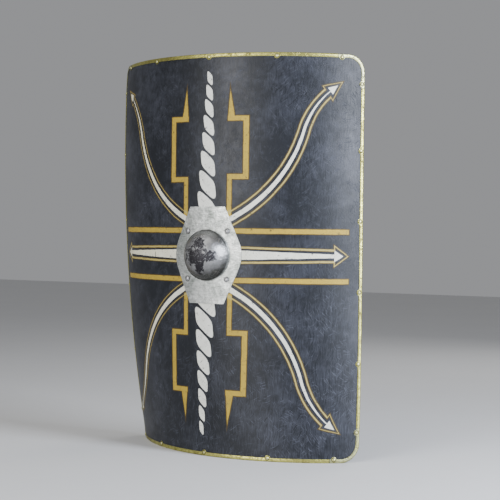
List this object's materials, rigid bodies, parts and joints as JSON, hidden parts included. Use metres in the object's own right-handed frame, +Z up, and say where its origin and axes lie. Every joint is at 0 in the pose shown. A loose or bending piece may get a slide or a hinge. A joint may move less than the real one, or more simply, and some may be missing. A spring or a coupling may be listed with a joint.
{
  "type": "roman scutum shield",
  "caption": "Tall curved rectangular shield with brass-bound edge, domed steel hand boss on a hexagonal plate, and a wooden grip behind.",
  "frame": {"origin": "on the flat underside of the bottom edging, under the middle of the board's thickness at its vertical centre line; the surface that the shield stands on is z = 0", "axes": "+Z up the shield, the painted face and the boss look towards -Y, +X to the right of a viewer in front of it"},
  "size_m": [0.7569, 0.2879, 1.05],
  "materials": {
    "painted_board": "satin blue-black paint with ochre and off-white pattern, scuffed",
    "brass_edging": "dull tarnished brass with bright rubbed spots",
    "brass_rivet": "dull hammered brass",
    "boss_steel": "satin plate, darker polished dome with dark stains",
    "steel_rivet": "satin hammered steel",
    "grip_wood": "oiled ash, darkened by hands"
  },
  "bodies": {
    "root": {"board": "painted_board", "boss": "boss_steel", "boss_rivet_1": "steel_rivet", "boss_rivet_2": "steel_rivet", "boss_rivet_3": "steel_rivet", "boss_rivet_4": "steel_rivet", "edge_rivet_01": "brass_rivet", "edge_rivet_02": "brass_rivet", "edge_rivet_03": "brass_rivet", "edge_rivet_04": "brass_rivet", "edge_rivet_05": "brass_rivet", "edge_rivet_06": "brass_rivet", "edge_rivet_07": "brass_rivet", "edge_rivet_08": "brass_rivet", "edge_rivet_09": "brass_rivet", "edge_rivet_10": "brass_rivet", "edge_rivet_11": "brass_rivet", "edge_rivet_12": "brass_rivet", "edge_rivet_13": "brass_rivet", "edge_rivet_14": "brass_rivet", "edge_rivet_15": "brass_rivet", "edge_rivet_16": "brass_rivet", "edge_rivet_17": "brass_rivet", "edge_rivet_18": "brass_rivet", "edge_rivet_19": "brass_rivet", "edge_rivet_20": "brass_rivet", "edge_rivet_21": "brass_rivet", "edge_rivet_22": "brass_rivet", "edging_bottom": "brass_edging", "edging_corner_bottom_left": "brass_edging", "edging_corner_bottom_right": "brass_edging", "edging_corner_top_left": "brass_edging", "edging_corner_top_right": "brass_edging", "edging_left": "brass_edging", "edging_right": "brass_edging", "edging_top": "brass_edging", "grip": "grip_wood", "grip_nail_1": "steel_rivet", "grip_nail_2": "steel_rivet", "grip_nail_3": "steel_rivet", "grip_nail_4": "steel_rivet"}
  },
  "joints": []
}
